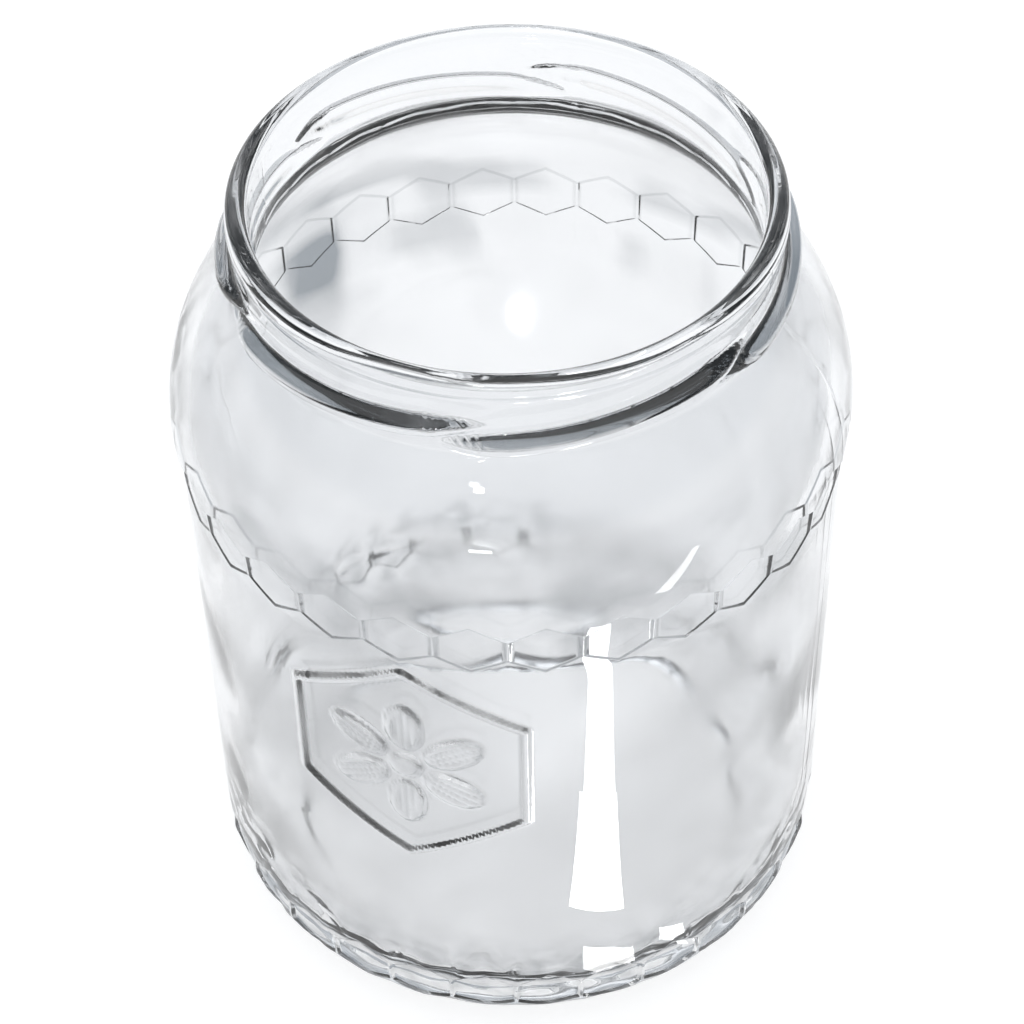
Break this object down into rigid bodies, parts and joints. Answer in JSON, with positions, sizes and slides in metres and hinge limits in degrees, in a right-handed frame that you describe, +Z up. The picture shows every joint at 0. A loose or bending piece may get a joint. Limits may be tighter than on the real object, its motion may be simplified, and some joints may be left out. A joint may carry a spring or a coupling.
{
  "type": "empty glass honey jar",
  "caption": "Empty clear glass honey jar with a twist-off thread, honeycomb bands under the shoulder and round the heel, and a raised hexagon badge.",
  "frame": {"origin": "centre of the foot, on the surface the jar stands on", "axes": "+Z up along the jar's axis, -Y toward the front, +X to the right of a viewer at the front"},
  "size_m": [0.0988, 0.0988, 0.13],
  "materials": {
    "glass": "clear, fire-polished"
  },
  "bodies": {
    "root": {"jar": "glass"}
  },
  "joints": []
}
